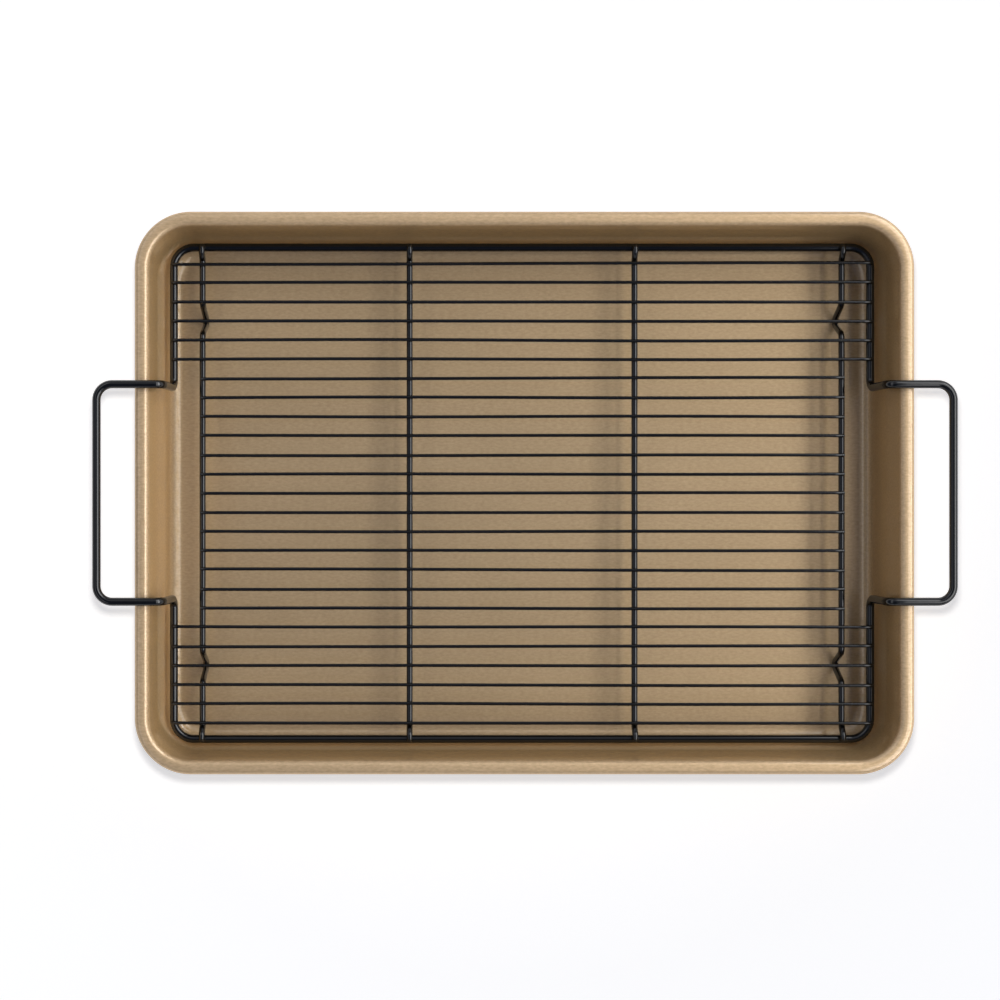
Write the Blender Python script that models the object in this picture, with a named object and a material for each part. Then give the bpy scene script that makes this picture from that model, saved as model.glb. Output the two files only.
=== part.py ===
"""Half sheet pan with a wire rack that lifts out by its handles.

Metres, +Z up. The origin is the middle of the pan's underside, +X runs along the
pan towards the right handle, +Y across it.
"""
import math

import bmesh
import bpy
from mathutils import Quaternion, Vector

MM = 0.001

# Pan
PAN_LENGTH = 458.4 * MM
PAN_WIDTH = 331.0 * MM
PAN_HEIGHT = 52.0 * MM
RIM_CORNER_RADIUS = 33.0 * MM
SHEET_THICKNESS = 1.0 * MM
WALL_DRAFT = math.radians(7.7)
FLOOR_FILLET_RADIUS = 8.0 * MM
CORNER_FLARE = 6.0 * MM

# Rolled rim, an oval curl with tight ends and a low crown, and the wire inside it
CURL_WIDTH = 8.5 * MM
CURL_END_RADIUS = 3.1 * MM
CURL_CROWN_RADIUS = 13.0 * MM
CURL_EDGE_GAP = 0.35 * MM
RIM_WIRE_GAP = 0.3 * MM

# Rack wires
FRAME_WIRE_DIAMETER = 4.9 * MM
CROSS_WIRE_DIAMETER = 3.8 * MM
GRID_WIRE_DIAMETER = 2.0 * MM
SEAT_GAP = 0.3 * MM

# Rack frame, set by its room inside the pan
RACK_FLOOR_HEIGHT = 16.55 * MM
RACK_END_CLEARANCE = 3.95 * MM
RACK_SIDE_CLEARANCE = 2.1 * MM
RACK_CORNER_CLEARANCE = 1.6 * MM

# Handles
HANDLE_WIDTH = 127.2 * MM
HANDLE_REACH = 21.4 * MM
HANDLE_RIM_CLEARANCE = 0.75 * MM
RISER_LEAN = 2.0 * MM
RISER_BASE_RADIUS = 6.0 * MM
ELBOW_RADIUS = 5.0 * MM
GRIP_CORNER_RADIUS = 9.2 * MM

# Leg wires and cross supports
LEG_INSET = 17.4 * MM
SUPPORT_OFFSET = 67.9 * MM
FOOT_INSET = 43.5 * MM
FOOT_FLANK_ANGLE = math.radians(68.0)
FOOT_TIP_RADIUS = 3.0 * MM
FOOT_SHOULDER_RADIUS = 4.5 * MM
JOGGLE_ANGLE = math.radians(42.0)
JOGGLE_RADIUS = 3.0 * MM
JOGGLE_SETBACK = 0.85 * MM
CROSS_WIRE_OVERRUN = 0.5 * MM

# Grid wires
GRID_WIRE_COUNT = 25
GRID_JOGGLE_CLEARANCE = 0.1 * MM
GRID_END_OVERRUN = 1.2 * MM

# Smoothness of the facets
CORNER_SEGMENTS = 11
CURL_STEP = math.radians(22.0)
FILLET_SEGMENTS = 6
BEND_STEP = math.radians(18.0)

# Worked out from the sizes above
CURL_REACH = CURL_WIDTH / 2 - CURL_END_RADIUS
CURL_DROP = math.sqrt((CURL_CROWN_RADIUS - CURL_END_RADIUS) ** 2 - CURL_REACH ** 2)
CURL_CROWN_TURN = math.asin(CURL_REACH / (CURL_CROWN_RADIUS - CURL_END_RADIUS))
CURL_HALF_HEIGHT = CURL_CROWN_RADIUS - CURL_DROP
CURL_HEIGHT = PAN_HEIGHT - CURL_HALF_HEIGHT
RIM_WIRE_RADIUS = CURL_HALF_HEIGHT - SHEET_THICKNESS - RIM_WIRE_GAP
FRAME_RADIUS = FRAME_WIRE_DIAMETER / 2
CROSS_RADIUS = CROSS_WIRE_DIAMETER / 2
GRID_RADIUS = GRID_WIRE_DIAMETER / 2


def wall_inset(height):
    """Distance from the rim's outermost line in to the wall's food side."""
    tangent_inset = CURL_WIDTH - CURL_END_RADIUS + CURL_END_RADIUS * math.cos(WALL_DRAFT)
    tangent_height = CURL_HEIGHT + CURL_END_RADIUS * math.sin(WALL_DRAFT)
    return tangent_inset + (tangent_height - height) * math.tan(WALL_DRAFT)


# Rack rectangle on the wire's centre line, inside the walls at its height
FRAME_HEIGHT = SHEET_THICKNESS + RACK_FLOOR_HEIGHT + FRAME_RADIUS
FRAME_INSET = wall_inset(FRAME_HEIGHT) + FRAME_RADIUS
FRAME_HALF_LENGTH = PAN_LENGTH / 2 - FRAME_INSET - RACK_END_CLEARANCE
FRAME_HALF_WIDTH = PAN_WIDTH / 2 - FRAME_INSET - RACK_SIDE_CLEARANCE

# Heights of the wires, from the pan's floor and the frame's top
DECK_HEIGHT = FRAME_HEIGHT + FRAME_RADIUS
CROSS_HEIGHT = DECK_HEIGHT - CROSS_RADIUS
CROSS_END_HEIGHT = DECK_HEIGHT + SEAT_GAP + CROSS_RADIUS
GRID_HEIGHT = DECK_HEIGHT + SEAT_GAP + GRID_RADIUS
FOOT_HEIGHT = SHEET_THICKNESS + SEAT_GAP + CROSS_RADIUS
HANDLE_HEIGHT = PAN_HEIGHT + HANDLE_RIM_CLEARANCE + FRAME_RADIUS

# Places along and across the rack
LEG_OFFSET = FRAME_HALF_LENGTH - LEG_INSET
FOOT_OFFSET = FRAME_HALF_WIDTH - FOOT_INSET
GRIP_OFFSET = PAN_LENGTH / 2 + HANDLE_REACH
JOGGLE_END = FRAME_HALF_WIDTH - FRAME_RADIUS - JOGGLE_SETBACK
JOGGLE_START = JOGGLE_END - (CROSS_END_HEIGHT - CROSS_HEIGHT) / math.tan(JOGGLE_ANGLE)
JOGGLE_BEND = JOGGLE_RADIUS * math.tan(JOGGLE_ANGLE / 2)
GRID_HALF_WIDTH = JOGGLE_START - JOGGLE_BEND - GRID_JOGGLE_CLEARANCE - GRID_RADIUS
GRID_PITCH = 2 * GRID_HALF_WIDTH / (GRID_WIRE_COUNT - 1)


def frame_corner_radius():
    """Tightest corner of the frame that keeps its clearance in the pan's corner.

    The frame's corner and the wall's are circles about two centres. The radius is
    the smaller root of the condition that one stays the clearance inside the other.
    """
    end = FRAME_HALF_LENGTH - (PAN_LENGTH / 2 - RIM_CORNER_RADIUS)
    side = FRAME_HALF_WIDTH - (PAN_WIDTH / 2 - RIM_CORNER_RADIUS)
    reach = RIM_CORNER_RADIUS - FRAME_INSET - RACK_CORNER_CLEARANCE
    half_sum = end + side - reach
    spread = half_sum ** 2 - (end ** 2 + side ** 2 - reach ** 2)
    return half_sum - math.sqrt(max(spread, 0.0))


def make_material(name, color, metallic, roughness):
    material = bpy.data.materials.new(name)
    material.use_nodes = True
    shader = material.node_tree.nodes["Principled BSDF"]
    shader.inputs["Base Color"].default_value = (*color, 1.0)
    shader.inputs["Metallic"].default_value = metallic
    shader.inputs["Roughness"].default_value = roughness
    return material


def rounded_rectangle(half_length, half_width, corner_radius):
    """Points counter-clockwise round a rectangle with round corners."""
    points = []
    for quarter in range(4):
        sign_x = 1 if quarter in (0, 3) else -1
        sign_y = 1 if quarter in (0, 1) else -1
        centre_x = sign_x * (half_length - corner_radius)
        centre_y = sign_y * (half_width - corner_radius)
        for step in range(CORNER_SEGMENTS + 1):
            angle = math.pi / 2 * (quarter + step / CORNER_SEGMENTS)
            points.append((centre_x + corner_radius * math.cos(angle),
                           centre_y + corner_radius * math.sin(angle)))
    return points


def bend_wire(corners):
    """Centre line through the corners, each given with its bend radius."""
    path = []
    count = len(corners)
    for index, (corner, radius) in enumerate(corners):
        corner = Vector(corner)
        if radius == 0.0:
            path.append(corner)
            continue
        before = Vector(corners[index - 1][0])
        after = Vector(corners[(index + 1) % count][0])
        incoming = (corner - before).normalized()
        outgoing = (after - corner).normalized()
        turn = incoming.angle(outgoing)
        axis = incoming.cross(outgoing).normalized()
        start = corner - incoming * radius * math.tan(turn / 2)
        spoke = -axis.cross(incoming) * radius
        centre = start - spoke
        steps = max(2, math.ceil(turn / BEND_STEP))
        for step in range(steps + 1):
            path.append(centre + Quaternion(axis, turn * step / steps) @ spoke)
    return path


def make_wire(name, corners, radius, roundness, material, closed=False):
    """A round wire with flat ends, or a closed loop, along bent corners."""
    path = bend_wire(corners)
    curve = bpy.data.curves.new(name, "CURVE")
    curve.dimensions = "3D"
    curve.bevel_depth = radius
    curve.bevel_resolution = roundness
    curve.use_fill_caps = not closed
    spline = curve.splines.new("POLY")
    spline.points.add(len(path) - 1)
    for point, place in zip(spline.points, path):
        point.co = (*place, 1.0)
    spline.use_cyclic_u = closed
    spline.use_smooth = True
    curve.materials.append(material)
    wire = bpy.data.objects.new(name, curve)
    bpy.context.scene.collection.objects.link(wire)
    return wire


def pan_section():
    """Section of the sheet as (inset, height, corner flare) stations.

    It starts at the edge of the floor's food side, climbs the wall, goes over and
    round the curl, turns at the sheet's edge and comes back on the outside.
    """
    inner_radius = FLOOR_FILLET_RADIUS
    outer_radius = FLOOR_FILLET_RADIUS + SHEET_THICKNESS
    centre_height = SHEET_THICKNESS + inner_radius
    fillet_turn = math.pi / 2 - WALL_DRAFT
    fillet_top = centre_height - inner_radius * math.sin(WALL_DRAFT)
    centre_inset = wall_inset(fillet_top) + inner_radius * math.cos(WALL_DRAFT)

    def fillet(radius):
        for step in range(FILLET_SEGMENTS + 1):
            share = step / FILLET_SEGMENTS
            turn = fillet_turn * share
            flare = CORNER_FLARE * (1 + math.cos(math.pi * share)) / 2
            yield (centre_inset - radius * math.sin(turn),
                   centre_height - radius * math.cos(turn), flare)

    # The last arc ends where its outside comes within the edge gap of the wall
    middle = CURL_WIDTH / 2
    quarter = math.pi / 2
    free_width = CURL_END_RADIUS - SHEET_THICKNESS - CURL_EDGE_GAP
    sheet_end = WALL_DRAFT + 4 * quarter - math.acos(free_width / CURL_END_RADIUS)
    inner_end = (middle + CURL_REACH, CURL_HEIGHT, CURL_END_RADIUS)
    crown = (middle, CURL_HEIGHT - CURL_DROP, CURL_CROWN_RADIUS)
    outer_end = (middle - CURL_REACH, CURL_HEIGHT, CURL_END_RADIUS)
    keel = (middle, CURL_HEIGHT + CURL_DROP, CURL_CROWN_RADIUS)
    arcs = [
        (inner_end, WALL_DRAFT, quarter - CURL_CROWN_TURN),
        (crown, quarter - CURL_CROWN_TURN, quarter + CURL_CROWN_TURN),
        (outer_end, quarter + CURL_CROWN_TURN, 3 * quarter - CURL_CROWN_TURN),
        (keel, 3 * quarter - CURL_CROWN_TURN, 3 * quarter + CURL_CROWN_TURN),
        (inner_end, 3 * quarter + CURL_CROWN_TURN, sheet_end),
    ]

    def curl(depth):
        for index, ((inset, height, radius), start, end) in enumerate(arcs):
            # An even count puts a ring on the crest, as two level neighbours bridge askew
            steps = 2 * math.ceil((end - start) / CURL_STEP / 2)
            for step in range(min(index, 1), steps + 1):
                angle = start + (end - start) * step / steps
                yield (inset + (radius - depth) * math.cos(angle),
                       height + (radius - depth) * math.sin(angle), 0.0)

    food_side = list(fillet(inner_radius)) + list(curl(0.0))
    outside = list(fillet(outer_radius)) + list(curl(SHEET_THICKNESS))
    return food_side + outside[::-1]


def make_pan_shell(material):
    """Loft of rounded rectangles along the sheet's section, closed by two flats."""
    bm = bmesh.new()
    rings = []
    for inset, height, flare in pan_section():
        outline = rounded_rectangle(PAN_LENGTH / 2 - inset, PAN_WIDTH / 2 - inset,
                                    RIM_CORNER_RADIUS - inset + flare)
        verts = [bm.verts.new((x, y, height)) for x, y in outline]
        edges = [bm.edges.new((verts[i - 1], verts[i])) for i in range(len(verts))]
        rings.append(edges)
    for lower, upper in zip(rings, rings[1:]):
        bmesh.ops.bridge_loops(bm, edges=lower + upper)
    for flat in (rings[0], rings[-1]):
        bmesh.ops.contextual_create(bm, geom=flat)
    bmesh.ops.recalc_face_normals(bm, faces=bm.faces)
    mesh = bpy.data.meshes.new("pan_shell")
    bm.to_mesh(mesh)
    bm.free()
    mesh.shade_smooth()
    mesh.set_sharp_from_angle(angle=math.radians(40))
    mesh.materials.append(material)
    pan = bpy.data.objects.new("pan_shell", mesh)
    bpy.context.scene.collection.objects.link(pan)
    return pan


def make_rim_wire(material):
    """Steel wire loop inside the curl, in its outer end."""
    inset = CURL_HALF_HEIGHT
    outline = rounded_rectangle(PAN_LENGTH / 2 - inset, PAN_WIDTH / 2 - inset,
                                RIM_CORNER_RADIUS - inset)
    corners = [((x, y, CURL_HEIGHT), 0.0) for x, y in outline]
    return make_wire("rim_wire", corners, RIM_WIRE_RADIUS, 2, material, closed=True)


def make_frame_wire(material):
    """The rack's rectangle and both handles, one closed wire with sixteen bends."""
    half_handle = HANDLE_WIDTH / 2
    elbow_offset = FRAME_HALF_LENGTH + RISER_LEAN
    quarter = [
        ((FRAME_HALF_LENGTH, FRAME_HALF_WIDTH, FRAME_HEIGHT), frame_corner_radius()),
        ((FRAME_HALF_LENGTH, half_handle, FRAME_HEIGHT), RISER_BASE_RADIUS),
        ((elbow_offset, half_handle, HANDLE_HEIGHT), ELBOW_RADIUS),
        ((GRIP_OFFSET, half_handle, HANDLE_HEIGHT), GRIP_CORNER_RADIUS),
    ]
    corners = []
    for sign_x, sign_y in ((1, 1), (1, -1), (-1, -1), (-1, 1)):
        turned = [((sign_x * x, sign_y * y, z), radius) for (x, y, z), radius in quarter]
        corners += turned if sign_x == sign_y else turned[::-1]
    return make_wire("rack_frame_wire", corners, FRAME_RADIUS, 4, material, closed=True)


def cross_wire_end():
    """Corners of a cross wire's joggle, from the deck up onto the frame's long side."""
    return [
        (JOGGLE_START, CROSS_HEIGHT, JOGGLE_RADIUS),
        (JOGGLE_END, CROSS_END_HEIGHT, JOGGLE_RADIUS),
        (FRAME_HALF_WIDTH + CROSS_WIRE_OVERRUN, CROSS_END_HEIGHT, 0.0),
    ]


def foot():
    """Corners of the V foot, whose rounded tip stands on the pan's floor."""
    rounding = FOOT_TIP_RADIUS * (1 / math.cos(FOOT_FLANK_ANGLE) - 1)
    corner_height = FOOT_HEIGHT - rounding
    half_width = (CROSS_HEIGHT - corner_height) / math.tan(FOOT_FLANK_ANGLE)
    return [
        (FOOT_OFFSET - half_width, CROSS_HEIGHT, FOOT_SHOULDER_RADIUS),
        (FOOT_OFFSET, corner_height, FOOT_TIP_RADIUS),
        (FOOT_OFFSET + half_width, CROSS_HEIGHT, FOOT_SHOULDER_RADIUS),
    ]


def make_cross_wire(name, x, half, material):
    """A wire across the rack, mirrored about the middle from one half's corners."""
    far_half = [((x, y, z), radius) for y, z, radius in half]
    near_half = [((x, -y, z), radius) for y, z, radius in half]
    return make_wire(name, near_half[::-1] + far_half, CROSS_RADIUS, 3, material)


def make_grid_wires(material):
    """Thin wires along the rack, the ones between the handles ending on the legs."""
    straight_side = HANDLE_WIDTH / 2 + RISER_BASE_RADIUS
    for index in range(GRID_WIRE_COUNT):
        y = (index - (GRID_WIRE_COUNT - 1) / 2) * GRID_PITCH
        meets_frame = abs(y) - GRID_RADIUS > straight_side
        carrier = FRAME_HALF_LENGTH if meets_frame else LEG_OFFSET
        end = carrier + GRID_END_OVERRUN
        corners = [((-end, y, GRID_HEIGHT), 0.0), ((end, y, GRID_HEIGHT), 0.0)]
        make_wire(f"grid_wire_{index + 1:02d}", corners, GRID_RADIUS, 2, material)


def main():
    for thing in list(bpy.data.objects):
        bpy.data.objects.remove(thing)

    gold = make_material("champagne_coating", (0.36, 0.26, 0.155), 1.0, 0.4)
    steel = make_material("rim_wire_steel", (0.55, 0.56, 0.57), 1.0, 0.35)
    black = make_material("black_coating", (0.012, 0.012, 0.013), 0.0, 0.35)

    make_pan_shell(gold)
    make_rim_wire(steel)
    make_frame_wire(black)
    for side, sign in (("left", -1), ("right", 1)):
        make_cross_wire(f"leg_wire_{side}", sign * LEG_OFFSET, foot() + cross_wire_end(), black)
        make_cross_wire(f"cross_support_{side}", sign * SUPPORT_OFFSET, cross_wire_end(), black)
    make_grid_wires(black)


main()
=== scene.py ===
"""Looks of the sheet pan with its lift-out wire rack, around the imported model. Metres, +Z up."""

import math
import random

import bmesh
import bpy
from mathutils import Matrix, Vector


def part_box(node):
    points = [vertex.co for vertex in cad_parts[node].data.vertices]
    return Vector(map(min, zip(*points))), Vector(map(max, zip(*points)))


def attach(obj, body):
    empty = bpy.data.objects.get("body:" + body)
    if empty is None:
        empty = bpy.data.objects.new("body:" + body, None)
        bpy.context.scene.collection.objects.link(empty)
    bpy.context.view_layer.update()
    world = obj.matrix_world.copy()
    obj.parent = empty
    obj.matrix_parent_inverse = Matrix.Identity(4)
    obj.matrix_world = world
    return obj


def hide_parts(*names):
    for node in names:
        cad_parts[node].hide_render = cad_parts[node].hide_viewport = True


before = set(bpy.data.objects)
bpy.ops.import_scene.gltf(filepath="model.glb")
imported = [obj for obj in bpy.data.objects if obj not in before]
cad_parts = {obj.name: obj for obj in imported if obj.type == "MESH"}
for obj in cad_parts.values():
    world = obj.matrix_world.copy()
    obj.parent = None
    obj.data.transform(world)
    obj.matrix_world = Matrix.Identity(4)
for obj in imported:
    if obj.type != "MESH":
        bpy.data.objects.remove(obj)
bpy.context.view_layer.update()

MM = 0.001

# Pan sizes that its box doesn't tell
SHEET_THICKNESS = 1.0 * MM
WALL_DRAFT = math.radians(7.7)
RIM_CORNER_RADIUS = 33.0 * MM
FLOOR_FILLET_RADIUS = 8.0 * MM
CORNER_FLARE = 6.0 * MM
CURL_WIDTH = 8.5 * MM
CURL_END_RADIUS = 3.1 * MM
CURL_CROWN_RADIUS = 13.0 * MM
CURL_EDGE_GAP = 0.35 * MM

# Rack sizes that its boxes don't tell
FRAME_RADIUS = 2.45 * MM
CROSS_RADIUS = 1.9 * MM
GRID_RADIUS = 1.0 * MM
CONTACT_GAP = 0.3 * MM
FRAME_CORNER_RADIUS = 12.1 * MM
HANDLE_HALF_WIDTH = 63.6 * MM
RISER_LEAN = 2.0 * MM
RISER_BASE_RADIUS = 6.0 * MM
ELBOW_RADIUS = 5.0 * MM
GRIP_CORNER_RADIUS = 9.2 * MM
FOOT_INSET = 43.5 * MM
FOOT_FLANK_ANGLE = math.radians(68.0)
FOOT_TIP_RADIUS = 3.0 * MM
FOOT_SHOULDER_RADIUS = 4.5 * MM
JOGGLE_ANGLE = math.radians(42.0)
JOGGLE_RADIUS = 3.0 * MM
JOGGLE_SETBACK = 0.85 * MM
GRID_END_OVERRUN = 1.2 * MM
GRID_WIRE_COUNT = 25

# The rounding of a cut end, as a share of the wire's radius, the half sizes of the weld
# beads, and how far round a foot, in grid pitches, its leg has no bead
END_ROUNDING = 0.35
GRID_BEAD = (1.35 * MM, 1.25 * MM, 0.75 * MM)
FRAME_BEAD = (2.0 * MM, 2.1 * MM, 0.95 * MM)
FOOT_REACH = 0.6

# How far a hand-fed grid wire strays sideways, how many waves it bows in, and its seed
STRAY_OFFSET = 0.25 * MM
STRAY_SLOPE = 0.0016
STRAY_BOW = 0.35 * MM
STRAY_WAVES = (0.6, 1.4)
STRAY_SEED = 7

# Fineness of the meshes
CORNER_SEGMENTS = 24
FILLET_SEGMENTS = 14
CURL_STEP = math.radians(10.0)
WALL_SHARES = (0.03, 0.25, 0.5, 0.75, 0.97)
SIDE_CUTS = 23
FLOOR_BAND = 3.0 * MM
BEND_STEP = math.radians(6.0)
LEAST_BEND_STEPS = 3
RUN_STEP = 6.0 * MM
FRAME_SIDES = 20
CROSS_SIDES = 18
GRID_SIDES = 14
END_SEGMENTS = 3
CREASE_ANGLE = math.radians(40.0)
MERGE_DISTANCE = 0.00001 * MM

# The boxes that set the places
pan_low, pan_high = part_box("pan_shell")
rack_low, rack_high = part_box("rack_frame_wire")
leg_low, leg_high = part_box("leg_wire_right")
support_low, support_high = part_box("cross_support_right")
long_wire_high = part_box(f"grid_wire_{GRID_WIRE_COUNT:02d}")[1]

CURL_REACH = CURL_WIDTH / 2 - CURL_END_RADIUS
CURL_DROP = math.sqrt((CURL_CROWN_RADIUS - CURL_END_RADIUS) ** 2 - CURL_REACH ** 2)
CURL_CROWN_TURN = math.asin(CURL_REACH / (CURL_CROWN_RADIUS - CURL_END_RADIUS))
CURL_HEIGHT = pan_high.z - CURL_CROWN_RADIUS + CURL_DROP
FRAME_HALF_LENGTH = long_wire_high.x - GRID_END_OVERRUN
FRAME_HALF_WIDTH = rack_high.y - FRAME_RADIUS
FRAME_HEIGHT = rack_low.z + FRAME_RADIUS
GRIP_OFFSET = rack_high.x - FRAME_RADIUS
HANDLE_HEIGHT = rack_high.z - FRAME_RADIUS
DECK_HEIGHT = FRAME_HEIGHT + FRAME_RADIUS
CROSS_HEIGHT = DECK_HEIGHT - CROSS_RADIUS
CROSS_END_HEIGHT = DECK_HEIGHT + CONTACT_GAP + CROSS_RADIUS
CROSS_END = leg_high.y
GRID_HEIGHT = DECK_HEIGHT + CONTACT_GAP + GRID_RADIUS
FOOT_HEIGHT = SHEET_THICKNESS + CONTACT_GAP + CROSS_RADIUS
LEG_OFFSET = (leg_low.x + leg_high.x) / 2
SUPPORT_OFFSET = (support_low.x + support_high.x) / 2
FOOT_OFFSET = FRAME_HALF_WIDTH - FOOT_INSET
JOGGLE_END = FRAME_HALF_WIDTH - FRAME_RADIUS - JOGGLE_SETBACK
JOGGLE_START = JOGGLE_END - (CROSS_END_HEIGHT - CROSS_HEIGHT) / math.tan(JOGGLE_ANGLE)
GRID_PITCH = 2 * (long_wire_high.y - GRID_RADIUS) / (GRID_WIRE_COUNT - 1)

# Colours of the gold coating: the floor's two tones, the walls' deeper gold that is painted
# reflection of the floor's gold light, the rim's paler gold that is a painted highlight, the
# flake, the grain and the specks, and the tint of its sheen
FLOOR_GOLDS = ((0.553, 0.397, 0.222), (0.583, 0.421, 0.240))
WALL_PAINTED_REFLECTION_GOLD = (0.580, 0.392, 0.180)
RIM_PAINTED_HIGHLIGHT_GOLD = (0.690, 0.492, 0.285)
FLAKE_GOLD = (0.68, 0.50, 0.29)
GRAIN_BROWN = (0.42, 0.28, 0.14)
SPECK_BROWN = (0.15, 0.08, 0.035)
SHEEN_TINT = (0.80, 0.66, 0.50, 1.0)

# How much the flake and the grain show, and the heights over which the walls' painted
# reflection and the rim's painted highlight come in
FLAKE_SHARE = 0.36
GRAIN_SHARE = 0.50
WALL_PAINTED_REFLECTION_ZONE = (4.0 * MM, 12.0 * MM)
RIM_PAINTED_HIGHLIGHT_ZONE = (CURL_HEIGHT - 1.0 * MM, CURL_HEIGHT + 0.5 * MM)

# Colours of the black coating with its rubbed specks, and of the galvanised wire
COATING_BLACKS = ((0.001, 0.001, 0.001), (0.003, 0.003, 0.003))
RUBBED_GREY = (0.14, 0.125, 0.10)
STEEL_GREYS = ((0.48, 0.49, 0.50), (0.60, 0.61, 0.62))


# Materials

def new_material(name, metallic, roughness):
    """A material, with its nodes, its shader and the coordinates fixed to its piece."""
    material = bpy.data.materials.new(name)
    material.use_nodes = True
    shader = material.node_tree.nodes["Principled BSDF"]
    shader.inputs["Metallic"].default_value = metallic
    shader.inputs["Roughness"].default_value = roughness
    place = material.node_tree.nodes.new("ShaderNodeTexCoord").outputs["Object"]
    return material, material.node_tree, shader, place


def noise(tree, place, scale, detail=2.0, stretch=(1.0, 1.0, 1.0)):
    """Noise from 0 to 1, that many times a metre."""
    mapping = tree.nodes.new("ShaderNodeMapping")
    mapping.inputs["Scale"].default_value = stretch
    tree.links.new(place, mapping.inputs["Vector"])
    texture = tree.nodes.new("ShaderNodeTexNoise")
    texture.inputs["Scale"].default_value = scale
    texture.inputs["Detail"].default_value = detail
    tree.links.new(mapping.outputs["Vector"], texture.inputs["Vector"])
    return texture.outputs["Fac"]


def remap(tree, value, low, high, from_low=0.3, from_high=0.7):
    """The value stretched from its own range onto another, and held inside it."""
    node = tree.nodes.new("ShaderNodeMapRange")
    node.inputs["From Min"].default_value = from_low
    node.inputs["From Max"].default_value = from_high
    node.inputs["To Min"].default_value = low
    node.inputs["To Max"].default_value = high
    tree.links.new(value, node.inputs["Value"])
    return node.outputs["Result"]


# The mix node's sockets for colours, which share their names with its other sockets
MIX_FIRST_COLOR = 6
MIX_SECOND_COLOR = 7
MIX_COLOR_RESULT = 2


def blend_colors(tree, share, first, second):
    """Two colours mixed by a share, each given as a colour or as another node's output."""
    node = tree.nodes.new("ShaderNodeMix")
    node.data_type = "RGBA"
    tree.links.new(share, node.inputs["Factor"])
    for index, color in ((MIX_FIRST_COLOR, first), (MIX_SECOND_COLOR, second)):
        if isinstance(color, tuple):
            node.inputs[index].default_value = (*color, 1.0)
        else:
            tree.links.new(color, node.inputs[index])
    return node.outputs[MIX_COLOR_RESULT]


def math_node(tree, operation, first, second):
    node = tree.nodes.new("ShaderNodeMath")
    node.operation = operation
    for socket, value in zip(node.inputs, (first, second)):
        if isinstance(value, (int, float)):
            socket.default_value = value
        else:
            tree.links.new(value, socket)
    return node.outputs["Value"]


def height_of(tree, place):
    """The upward part of a place or a direction."""
    split = tree.nodes.new("ShaderNodeSeparateXYZ")
    tree.links.new(place, split.inputs["Vector"])
    return split.outputs["Z"]


def specks(tree, place, scale, radius, share):
    """1 inside small dots, in that share of the cells of a random pattern."""
    cells = tree.nodes.new("ShaderNodeTexVoronoi")
    cells.inputs["Scale"].default_value = scale
    tree.links.new(place, cells.inputs["Vector"])
    picked = tree.nodes.new("ShaderNodeSeparateColor")
    tree.links.new(cells.outputs["Color"], picked.inputs["Color"])
    chosen = math_node(tree, "LESS_THAN", picked.outputs["Red"], share)
    size = math_node(tree, "MULTIPLY", picked.outputs["Green"], radius * scale)
    inside = math_node(tree, "LESS_THAN", cells.outputs["Distance"], size)
    return math_node(tree, "MULTIPLY", chosen, inside)


def bump(tree, shader, height, strength, distance):
    node = tree.nodes.new("ShaderNodeBump")
    node.inputs["Strength"].default_value = strength
    node.inputs["Distance"].default_value = distance
    tree.links.new(height, node.inputs["Height"])
    tree.links.new(node.outputs["Normal"], shader.inputs["Normal"])


def champagne_coating():
    """Satin non-stick coating with a fine metallic flake, soft clouds and a few specks."""
    material, tree, shader, place = new_material("champagne_coating", metallic=0.6, roughness=0.5)
    clouds = noise(tree, place, scale=16.0, detail=3.0)
    flake = noise(tree, place, scale=1500.0, detail=1.0)
    grain = noise(tree, place, scale=900.0, detail=2.0, stretch=(0.4, 1.0, 1.0))
    tone = blend_colors(tree, remap(tree, clouds, 0.0, 1.0), *FLOOR_GOLDS)
    height = height_of(tree, place)
    # Painted reflection: the walls turn a deeper gold, standing in for the floor's gold light on
    # them
    tone = blend_colors(tree, remap(tree, height, 0.0, 1.0, *WALL_PAINTED_REFLECTION_ZONE), tone, WALL_PAINTED_REFLECTION_GOLD)
    # Painted highlight: the rolled rim turns a paler gold, standing in for light that brightens it
    tone = blend_colors(tree, remap(tree, height, 0.0, 1.0, *RIM_PAINTED_HIGHLIGHT_ZONE), tone, RIM_PAINTED_HIGHLIGHT_GOLD)
    tone = blend_colors(tree, remap(tree, flake, 0.0, FLAKE_SHARE), tone, FLAKE_GOLD)
    tone = blend_colors(tree, remap(tree, grain, 0.0, GRAIN_SHARE), tone, GRAIN_BROWN)
    dots = specks(tree, place, scale=26.0, radius=0.45 * MM, share=0.08)
    tone = blend_colors(tree, dots, tone, SPECK_BROWN)
    tree.links.new(tone, shader.inputs["Base Color"])
    clouded = remap(tree, clouds, 0.47, 0.51)
    roughness = math_node(tree, "ADD", clouded, remap(tree, flake, -0.03, 0.03))
    tree.links.new(roughness, shader.inputs["Roughness"])
    shader.inputs["Specular IOR Level"].default_value = 0.1
    shader.inputs["Specular Tint"].default_value = SHEEN_TINT
    shader.inputs["Coat Weight"].default_value = 0.5
    shader.inputs["Coat IOR"].default_value = 2.0
    shader.inputs["Coat Roughness"].default_value = 0.08
    bump(tree, shader, flake, strength=0.25, distance=0.03 * MM)
    return material


def black_coating():
    """Satin black non-stick coating over wire, with a slight orange peel and rubbed specks."""
    material, tree, shader, place = new_material("black_coating", metallic=0.0, roughness=0.25)
    peel = noise(tree, place, scale=420.0, detail=2.0)
    fine = noise(tree, place, scale=2600.0, detail=1.0)
    tone = blend_colors(tree, remap(tree, peel, 0.0, 1.0), *COATING_BLACKS)
    rubbed = specks(tree, place, scale=45.0, radius=0.5 * MM, share=0.06)
    tone = blend_colors(tree, rubbed, tone, RUBBED_GREY)
    tree.links.new(tone, shader.inputs["Base Color"])
    tree.links.new(remap(tree, fine, 0.08, 0.14), shader.inputs["Roughness"])
    shader.inputs["Specular IOR Level"].default_value = 0.6
    bump(tree, shader, peel, strength=0.15, distance=0.05 * MM)
    return material


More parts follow.
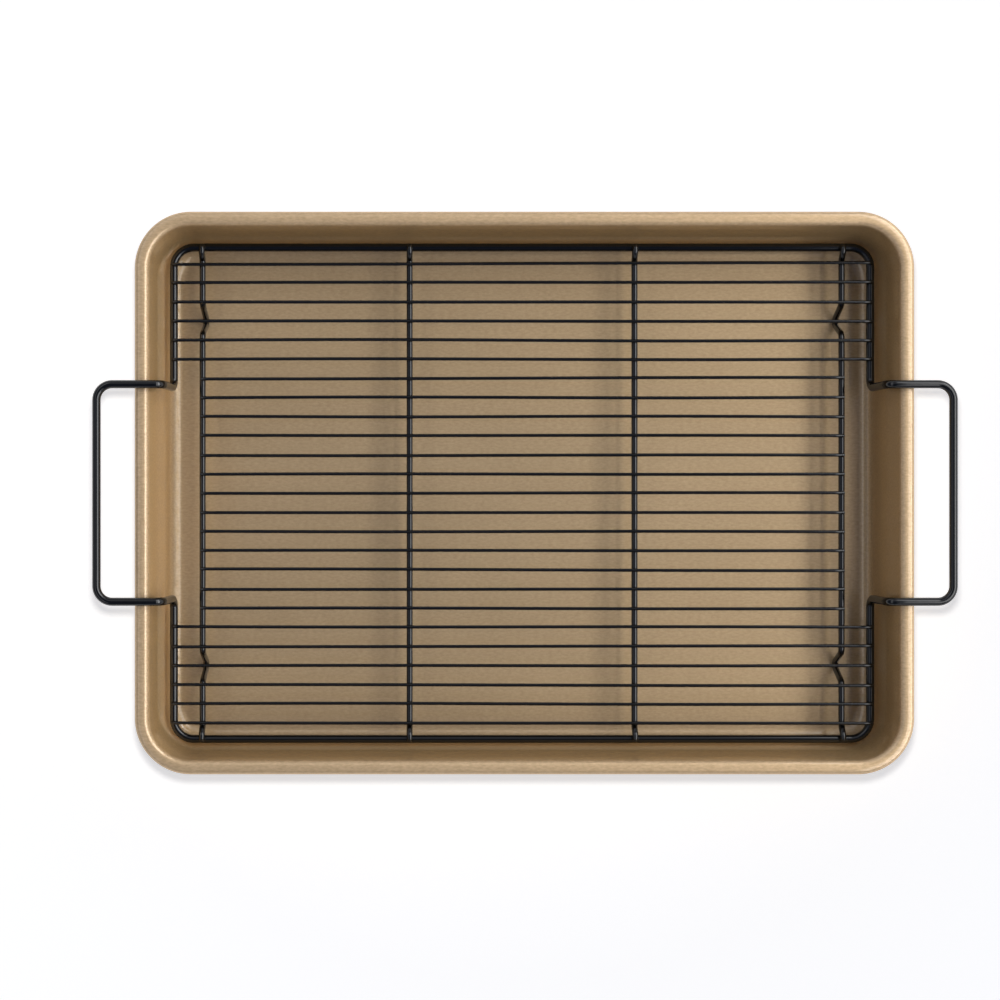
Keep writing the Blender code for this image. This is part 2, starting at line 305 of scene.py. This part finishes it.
def rim_wire_steel():
    """Drawn, galvanised wire, seen only through the slit behind the rolled rim."""
    material, tree, shader, place = new_material("rim_wire_steel", metallic=1.0, roughness=0.4)
    spangle = noise(tree, place, scale=300.0, detail=3.0)
    tone = blend_colors(tree, remap(tree, spangle, 0.0, 1.0), *STEEL_GREYS)
    tree.links.new(tone, shader.inputs["Base Color"])
    tree.links.new(remap(tree, spangle, 0.32, 0.48), shader.inputs["Roughness"])
    bump(tree, shader, spangle, strength=0.15, distance=0.03 * MM)
    return material


# Finishing a piece

def finish_piece(bm, name, material, body, nodes):
    """Turns a bmesh into a piece that rides on its body and stands for those nodes."""
    bmesh.ops.recalc_face_normals(bm, faces=bm.faces)
    mesh = bpy.data.meshes.new(name)
    bm.to_mesh(mesh)
    bm.free()
    mesh.shade_smooth()
    mesh.set_sharp_from_angle(angle=CREASE_ANGLE)
    mesh.materials.append(material)
    piece = bpy.data.objects.new(name, mesh)
    bpy.context.scene.collection.objects.link(piece)
    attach(piece, body)
    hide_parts(*nodes)


# Pan

def wall_inset(height):
    """Distance from the rim's outermost line in to the wall's food side."""
    tangent_inset = CURL_WIDTH - CURL_END_RADIUS + CURL_END_RADIUS * math.cos(WALL_DRAFT)
    tangent_height = CURL_HEIGHT + CURL_END_RADIUS * math.sin(WALL_DRAFT)
    return tangent_inset + (tangent_height - height) * math.tan(WALL_DRAFT)


def curl_arcs():
    """Arcs round the oval curl, each with its centre, its radius and the angles it spans."""
    middle = CURL_WIDTH / 2
    quarter = math.pi / 2
    inner_end = (middle + CURL_REACH, CURL_HEIGHT, CURL_END_RADIUS)
    crown = (middle, CURL_HEIGHT - CURL_DROP, CURL_CROWN_RADIUS)
    outer_end = (middle - CURL_REACH, CURL_HEIGHT, CURL_END_RADIUS)
    keel = (middle, CURL_HEIGHT + CURL_DROP, CURL_CROWN_RADIUS)
    free_width = CURL_END_RADIUS - SHEET_THICKNESS - CURL_EDGE_GAP
    sheet_end = WALL_DRAFT + 4 * quarter - math.acos(free_width / CURL_END_RADIUS)
    return [
        (inner_end, WALL_DRAFT, quarter - CURL_CROWN_TURN),
        (crown, quarter - CURL_CROWN_TURN, quarter + CURL_CROWN_TURN),
        (outer_end, quarter + CURL_CROWN_TURN, 3 * quarter - CURL_CROWN_TURN),
        (keel, 3 * quarter - CURL_CROWN_TURN, 3 * quarter + CURL_CROWN_TURN),
        (inner_end, 3 * quarter + CURL_CROWN_TURN, sheet_end),
    ]


def sheet_side(fillet_centre, depth):
    """The sheet at that depth, from the floor up and round the curl: inset, height, flare."""
    centre_inset, centre_height = fillet_centre
    radius = FLOOR_FILLET_RADIUS + depth
    stations = []
    for step in range(FILLET_SEGMENTS + 1):
        share = step / FILLET_SEGMENTS
        turn = (math.pi / 2 - WALL_DRAFT) * share
        flare = CORNER_FLARE * (1 + math.cos(math.pi * share)) / 2
        inset = centre_inset - radius * math.sin(turn)
        stations.append((inset, centre_height - radius * math.cos(turn), flare))
    curl = []
    for index, ((inset, height, radius), start, end) in enumerate(curl_arcs()):
        # An even count puts a ring on the crest, as two level neighbours bridge askew
        steps = 2 * math.ceil((end - start) / CURL_STEP / 2)
        for step in range(min(index, 1), steps + 1):
            angle = start + (end - start) * step / steps
            curl.append((inset + (radius - depth) * math.cos(angle),
                         height + (radius - depth) * math.sin(angle), 0.0))
    foot = Vector(stations[-1])
    head = Vector(curl[0])
    wall = [tuple(foot.lerp(head, share)) for share in WALL_SHARES]
    return stations + wall + curl


def rounded_ring(bm, inset, height, corner_radius):
    """A rectangle that far inside the rim's outline, with its corners bevelled round."""
    x = pan_high.x - inset
    y = pan_high.y - inset
    first_edge = len(bm.edges)
    signs = ((1, 1), (-1, 1), (-1, -1), (1, -1))
    corners = [bm.verts.new((x * sign_x, y * sign_y, height)) for sign_x, sign_y in signs]
    for index, corner in enumerate(corners):
        bm.edges.new((corners[index - 1], corner))
    bmesh.ops.bevel(bm, geom=corners, offset=corner_radius, offset_type="OFFSET",
                    segments=CORNER_SEGMENTS, profile=0.5, affect="VERTICES", material=-1)
    bm.edges.ensure_lookup_table()
    return bm.edges[first_edge:]


def make_pan(material):
    """Drawn pan with a rolled rim, bridged through rings along the sheet's section."""
    fillet_height = SHEET_THICKNESS + FLOOR_FILLET_RADIUS
    fillet_top = fillet_height - FLOOR_FILLET_RADIUS * math.sin(WALL_DRAFT)
    centre_inset = wall_inset(fillet_top) + FLOOR_FILLET_RADIUS * math.cos(WALL_DRAFT)
    centre = (centre_inset, fillet_height)
    section = sheet_side(centre, 0.0) + sheet_side(centre, SHEET_THICKNESS)[::-1]
    bm = bmesh.new()
    rings = [rounded_ring(bm, inset, height, RIM_CORNER_RADIUS - inset + flare)
             for inset, height, flare in section]
    for lower, upper in zip(rings, rings[1:]):
        bmesh.ops.bridge_loops(bm, edges=lower + upper)
    for ring in (rings[0], rings[-1]):
        flat = bmesh.ops.contextual_create(bm, geom=ring)["faces"]
        bmesh.ops.inset_region(bm, faces=flat, thickness=FLOOR_BAND, use_even_offset=True)
    long_edges = [edge for edge in bm.edges
                  if edge.calc_length() > RIM_CORNER_RADIUS * 2 and edge.is_manifold]
    bmesh.ops.subdivide_edges(bm, edges=long_edges, cuts=SIDE_CUTS)
    finish_piece(bm, "drawn_pan", material, "pan", ["pan_shell"])


# Rack wires

def draw_run(bm, ring, run):
    """Draws a wire's end ring along a straight run, in short steps."""
    steps = max(1, round(run.length / RUN_STEP))
    for _ in range(steps):
        drawn = bmesh.ops.extrude_edge_only(bm, edges=ring)["geom"]
        verts = [item for item in drawn if isinstance(item, bmesh.types.BMVert)]
        bmesh.ops.translate(bm, verts=verts, vec=run / steps)
        ring = [item for item in drawn if isinstance(item, bmesh.types.BMEdge)]
    return ring


def draw_wire(bm, corners, radius, sides):
    """Draws a round wire through corners, each given with its bend radius.

    A ring is drawn along the straights and spun round the bends. Both end rings are
    left open and given back.
    """
    points = [Vector(point) for point, _ in corners]
    bends = [bend for _, bend in corners]
    heading = (points[1] - points[0]).normalized()
    square_to_wire = heading.to_track_quat("Z", "Y").to_matrix().to_4x4()
    bmesh.ops.create_circle(bm, segments=sides, radius=radius,
                            matrix=Matrix.Translation(points[0]) @ square_to_wire)
    first_ring = ring = bm.edges[:]
    place = points[0]
    for corner, following, bend_radius in zip(points[1:], points[2:], bends[1:]):
        incoming = (corner - place).normalized()
        outgoing = (following - corner).normalized()
        turn = incoming.angle(outgoing)
        axis = incoming.cross(outgoing).normalized()
        setback = bend_radius * math.tan(turn / 2)
        bend_start = corner - incoming * setback
        ring = draw_run(bm, ring, bend_start - place)
        verts = list(dict.fromkeys(vert for edge in ring for vert in edge.verts))
        centre = bend_start + axis.cross(incoming) * bend_radius
        steps = max(LEAST_BEND_STEPS, math.ceil(turn / BEND_STEP))
        bent = bmesh.ops.spin(bm, geom=verts + ring, cent=centre, axis=axis, dvec=(0.0, 0.0, 0.0),
                              angle=turn, steps=steps, use_merge=False,
                              use_duplicate=False)["geom_last"]
        ring = [item for item in bent if isinstance(item, bmesh.types.BMEdge)]
        place = corner + outgoing * setback
    return first_ring, draw_run(bm, ring, points[-1] - place)


def close_end(bm, ring, radius):
    """Fills a wire's cut end and rounds its edge as the coating does."""
    bmesh.ops.contextual_create(bm, geom=ring)
    bmesh.ops.bevel(bm, geom=ring, offset=radius * END_ROUNDING, offset_type="OFFSET",
                    segments=END_SEGMENTS, profile=0.5, affect="EDGES", material=-1)


def mirror_wire(bm, axis):
    bmesh.ops.mirror(bm, geom=bm.verts[:] + bm.edges[:] + bm.faces[:], matrix=Matrix.Identity(4),
                     merge_dist=MERGE_DISTANCE, axis=axis)


def make_frame_wire(material):
    """The rack's rectangle and both handles, a quarter of the loop mirrored twice."""
    elbow_offset = FRAME_HALF_LENGTH + RISER_LEAN
    quarter = [
        ((0.0, FRAME_HALF_WIDTH, FRAME_HEIGHT), 0.0),
        ((FRAME_HALF_LENGTH, FRAME_HALF_WIDTH, FRAME_HEIGHT), FRAME_CORNER_RADIUS),
        ((FRAME_HALF_LENGTH, HANDLE_HALF_WIDTH, FRAME_HEIGHT), RISER_BASE_RADIUS),
        ((elbow_offset, HANDLE_HALF_WIDTH, HANDLE_HEIGHT), ELBOW_RADIUS),
        ((GRIP_OFFSET, HANDLE_HALF_WIDTH, HANDLE_HEIGHT), GRIP_CORNER_RADIUS),
        ((GRIP_OFFSET, 0.0, HANDLE_HEIGHT), 0.0),
    ]
    bm = bmesh.new()
    draw_wire(bm, quarter, FRAME_RADIUS, FRAME_SIDES)
    mirror_wire(bm, "X")
    mirror_wire(bm, "Y")
    finish_piece(bm, "frame_and_handles", material, "rack", ["rack_frame_wire"])


def foot():
    """Corners of the V foot, whose rounded tip stands on the pan's floor."""
    corner_height = FOOT_HEIGHT - FOOT_TIP_RADIUS * (1 / math.cos(FOOT_FLANK_ANGLE) - 1)
    half_width = (CROSS_HEIGHT - corner_height) / math.tan(FOOT_FLANK_ANGLE)
    return [
        (FOOT_OFFSET - half_width, CROSS_HEIGHT, FOOT_SHOULDER_RADIUS),
        (FOOT_OFFSET, corner_height, FOOT_TIP_RADIUS),
        (FOOT_OFFSET + half_width, CROSS_HEIGHT, FOOT_SHOULDER_RADIUS),
    ]


def make_cross_wire(name, node, x, middle, material):
    """A wire across the rack whose joggled end lies on the frame, mirrored about the middle."""
    half = [(0.0, CROSS_HEIGHT, 0.0)] + middle + [
        (JOGGLE_START, CROSS_HEIGHT, JOGGLE_RADIUS),
        (JOGGLE_END, CROSS_END_HEIGHT, JOGGLE_RADIUS),
        (CROSS_END, CROSS_END_HEIGHT, 0.0),
    ]
    bm = bmesh.new()
    corners = [((x, y, z), radius) for y, z, radius in half]
    cut_end = draw_wire(bm, corners, CROSS_RADIUS, CROSS_SIDES)[1]
    close_end(bm, cut_end, CROSS_RADIUS)
    mirror_wire(bm, "Y")
    finish_piece(bm, name, material, "rack", [node])


def grid_paths():
    """Each grid wire's node, its half length and how it strays sideways along its run."""
    draw = random.Random(STRAY_SEED)
    paths = []
    for index in range(GRID_WIRE_COUNT):
        node = f"grid_wire_{index + 1:02d}"
        low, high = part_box(node)
        middle = (low.y + high.y) / 2
        offset = draw.uniform(-STRAY_OFFSET, STRAY_OFFSET)
        slope = draw.uniform(-STRAY_SLOPE, STRAY_SLOPE)
        bow = draw.uniform(-STRAY_BOW, STRAY_BOW)
        waves = draw.uniform(*STRAY_WAVES)

        def side(x, middle=middle, offset=offset, slope=slope, bow=bow, waves=waves):
            along = x / FRAME_HALF_LENGTH
            return middle + offset + slope * x + bow * math.sin(math.pi * waves * along)

        paths.append((node, high.x, side))
    return paths


def make_grid_wire(node, half_length, side, material):
    """A thin wire along the rack, straight between its welds to within a hair."""
    bm = bmesh.new()
    ends = [((-half_length, 0.0, GRID_HEIGHT), 0.0), ((half_length, 0.0, GRID_HEIGHT), 0.0)]
    for ring in draw_wire(bm, ends, GRID_RADIUS, GRID_SIDES):
        close_end(bm, ring, GRID_RADIUS)
    for vert in bm.verts:
        vert.co.y += side(vert.co.x)
    finish_piece(bm, f"coated_{node}", material, "rack", [node])


def add_weld(bm, place, size):
    """A small pressed-out bead between two crossing wires."""
    shape = Matrix.LocRotScale(Vector(place), None, Vector(size))
    bmesh.ops.create_icosphere(bm, subdivisions=2, radius=1.0, matrix=shape)


def make_welds(paths, material):
    """The beads of the crossings, all riding with the rack, but none over a foot."""
    seam = DECK_HEIGHT + CONTACT_GAP / 2
    foot_reach = GRID_PITCH * FOOT_REACH
    bm = bmesh.new()
    for _, half_length, side in paths:
        for x in (-LEG_OFFSET, -SUPPORT_OFFSET, SUPPORT_OFFSET, LEG_OFFSET):
            over_foot = abs(x) == LEG_OFFSET and abs(abs(side(x)) - FOOT_OFFSET) < foot_reach
            if not over_foot:
                add_weld(bm, (x, side(x), seam), GRID_BEAD)
        if half_length > FRAME_HALF_LENGTH:
            for x in (-FRAME_HALF_LENGTH, FRAME_HALF_LENGTH):
                add_weld(bm, (x, side(x), seam), GRID_BEAD)
    for x in (-LEG_OFFSET, -SUPPORT_OFFSET, SUPPORT_OFFSET, LEG_OFFSET):
        for y in (-FRAME_HALF_WIDTH, FRAME_HALF_WIDTH):
            add_weld(bm, (x, y, seam), FRAME_BEAD)
    finish_piece(bm, "weld_beads", material, "rack", [])


def make_object():
    gold = champagne_coating()
    black = black_coating()
    make_pan(gold)
    rim_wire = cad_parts["rim_wire"]
    rim_wire.data.materials.clear()
    rim_wire.data.materials.append(rim_wire_steel())
    make_frame_wire(black)
    for side, sign in (("left", -1), ("right", 1)):
        make_cross_wire(f"footed_leg_{side}", f"leg_wire_{side}", sign * LEG_OFFSET, foot(), black)
        make_cross_wire(f"straight_support_{side}", f"cross_support_{side}",
                        sign * SUPPORT_OFFSET, [], black)
    paths = grid_paths()
    for node, half_length, side in paths:
        make_grid_wire(node, half_length, side, black)
    make_welds(paths, black)


# Stage, light and camera

# The camera: its place, the picture's width, the focal length and the point straight below
# the camera in pixels, and the sensor's width in millimetres
CAMERA_PLACE = (-0.0522, -0.0041, 1.100)
PICTURE_WIDTH = 1000
FOCAL_PIXELS = 1786.8
NADIR_PIXEL_X = 435.7
SENSOR_WIDTH = 36.0

# The room: its colour and light at the horizon and overhead, and the upward parts of the
# directions between which the one fades into the other
ROOM_COLOR = (1.0, 0.90, 0.76)
ROOM_LIGHT = 0.9
CEILING_COLOR = (0.82, 0.98, 1.50)
CEILING_LIGHT = 0.11
CEILING_ZONE = (0.15, 0.35)

# The paper: its reach, how far it lies under the pan, its colour, its glow under the object,
# and the distances over which that clears to white
PAPER_REACH = 4.0
PAPER_GAP = 0.02 * MM
PAPER_COLOR = (0.82, 0.805, 0.77, 1.0)
PAPER_GLOW = 0.57
PAPER_CLEAR_ZONE = (0.30, 1.4)

# Softboxes: the side they stand on, from +X turning to +Y, and the angles from overhead that
# they span towards it and across it, all in degrees, and then how bright they are
SOFTBOX_DISTANCE = 4.0
SOFTBOXES = {
    "inner_panel": (0, 18, 30, -42, 56, 2.3),
    "main_panel": (0, 33, 52, -42, 56, 4.7),
    "low_panel": (0, 56, 74, -42, 56, 0.8),
    "weak_panel": (180, 22, 40, -56, 42, 0.75),
    "back_panel": (90, 20, 48, -45, 45, 0.55),
}

# The shadow lamp, with its share of the light that makes white paper white
SHADOW_LAMP_PLACE = (-0.052, 0.088, 1.04)
SHADOW_LAMP_SIZE = 0.09
SHADOW_LAMP_SHARE = 0.46


def mirrored_rays(tree, rays):
    """1 for what metal or glass shows."""
    return math_node(tree, "MAXIMUM", rays.outputs["Is Glossy Ray"],
                     rays.outputs["Is Transmission Ray"])


def make_floor():
    """White floor that keeps the object's soft shadow and looks white to the camera."""
    bm = bmesh.new()
    bmesh.ops.create_grid(bm, x_segments=1, y_segments=1, size=PAPER_REACH)
    bmesh.ops.translate(bm, verts=bm.verts[:], vec=(0.0, 0.0, pan_low.z - PAPER_GAP))
    mesh = bpy.data.meshes.new("studio_floor")
    bm.to_mesh(mesh)
    bm.free()
    material = bpy.data.materials.new("white_paper")
    material.use_nodes = True
    tree = material.node_tree
    tree.nodes.clear()
    paper = tree.nodes.new("ShaderNodeBsdfDiffuse")
    paper.inputs["Color"].default_value = PAPER_COLOR
    rays = tree.nodes.new("ShaderNodeLightPath")
    seen = math_node(tree, "MAXIMUM", rays.outputs["Is Camera Ray"], mirrored_rays(tree, rays))
    place = tree.nodes.new("ShaderNodeTexCoord").outputs["Object"]
    distance = tree.nodes.new("ShaderNodeVectorMath")
    distance.operation = "LENGTH"
    tree.links.new(place, distance.inputs[0])
    strength = remap(tree, distance.outputs["Value"], PAPER_GLOW, 1.0, *PAPER_CLEAR_ZONE)
    glow = tree.nodes.new("ShaderNodeEmission")
    tree.links.new(math_node(tree, "MULTIPLY", seen, strength), glow.inputs["Strength"])
    both = tree.nodes.new("ShaderNodeAddShader")
    output = tree.nodes.new("ShaderNodeOutputMaterial")
    tree.links.new(paper.outputs["BSDF"], both.inputs[0])
    tree.links.new(glow.outputs["Emission"], both.inputs[1])
    tree.links.new(both.outputs["Shader"], output.inputs["Surface"])
    mesh.materials.append(material)
    floor = bpy.data.objects.new("studio_floor", mesh)
    bpy.context.scene.collection.objects.link(floor)
    return floor


def light_floor(lamp, floor, state):
    """Lets a lamp light the floor alone, or all but the floor."""
    linked = bpy.data.collections.new(f"{lamp.name}_lights")
    linked.objects.link(floor)
    linked.collection_objects[0].light_linking.link_state = state
    lamp.light_linking.receiver_collection = linked


def make_softbox(name, side, start, end, left, right, brightness):
    """A flat panel on one side of the object, turned towards it.

    Brightness 1 is as bright as white paper in this light.
    """
    lean = math.radians(start + end) / 2
    height = SOFTBOX_DISTANCE * math.cos(lean)
    near, far = (height * math.tan(math.radians(angle)) for angle in (left, right))
    width = 2 * SOFTBOX_DISTANCE * math.tan(math.radians(end - start) / 2)
    light = bpy.data.lights.new(name, "AREA")
    light.shape = "RECTANGLE"
    light.size = width
    light.size_y = far - near
    light.energy = brightness * math.pi * light.size * light.size_y
    panel = bpy.data.objects.new(name, light)
    place = Vector((SOFTBOX_DISTANCE * math.sin(lean), (near + far) / 2, height))
    panel.location = Matrix.Rotation(math.radians(side), 3, "Z") @ place
    panel.rotation_euler = (0.0, lean, math.radians(side))
    panel.visible_camera = False
    bpy.context.scene.collection.objects.link(panel)
    return panel


def make_shadow_lamp():
    """A compact lamp beside the camera, which drops the short shadows on the paper."""
    light = bpy.data.lights.new("shadow_lamp", "AREA")
    light.shape = "DISK"
    light.size = SHADOW_LAMP_SIZE
    light.energy = SHADOW_LAMP_SHARE * math.pi ** 2 * SHADOW_LAMP_PLACE[2] ** 2
    lamp = bpy.data.objects.new("shadow_lamp", light)
    lamp.location = SHADOW_LAMP_PLACE
    lamp.visible_camera = False
    bpy.context.scene.collection.objects.link(lamp)
    return lamp


def make_world():
    """Room that is dim and cool overhead and pale and warm down at the horizon.

    The camera sees it all white, and metal and glass show that white low down.
    """
    world = bpy.data.worlds.new("pale_room")
    world.use_nodes = True
    tree = world.node_tree
    height = height_of(tree, tree.nodes.new("ShaderNodeTexCoord").outputs["Generated"])
    strength = remap(tree, height, ROOM_LIGHT, CEILING_LIGHT, *CEILING_ZONE)
    overhead = remap(tree, height, 0.0, 1.0, *CEILING_ZONE)
    color = blend_colors(tree, overhead, ROOM_COLOR, CEILING_COLOR)
    low = remap(tree, height, 1.0, 0.0, *CEILING_ZONE)
    rays = tree.nodes.new("ShaderNodeLightPath")
    mirrored = math_node(tree, "MULTIPLY", mirrored_rays(tree, rays), low)
    white = math_node(tree, "MAXIMUM", rays.outputs["Is Camera Ray"], mirrored)
    background = tree.nodes["Background"]
    tree.links.new(math_node(tree, "MAXIMUM", strength, white), background.inputs["Strength"])
    tree.links.new(blend_colors(tree, white, color, (1.0, 1.0, 1.0)), background.inputs["Color"])
    bpy.context.scene.world = world


def make_camera():
    camera = bpy.data.cameras.new("camera")
    camera.sensor_width = SENSOR_WIDTH
    camera.lens = SENSOR_WIDTH * FOCAL_PIXELS / PICTURE_WIDTH
    camera.shift_x = (PICTURE_WIDTH / 2 - NADIR_PIXEL_X) / PICTURE_WIDTH
    holder = bpy.data.objects.new("camera", camera)
    holder.location = CAMERA_PLACE
    bpy.context.scene.collection.objects.link(holder)
    bpy.context.scene.camera = holder


def make_studio():
    floor = make_floor()
    make_world()
    for name, settings in SOFTBOXES.items():
        light_floor(make_softbox(name, *settings), floor, "EXCLUDE")
    light_floor(make_shadow_lamp(), floor, "INCLUDE")
    make_camera()
    bpy.context.scene.view_settings.view_transform = "Standard"


make_object()
make_studio()
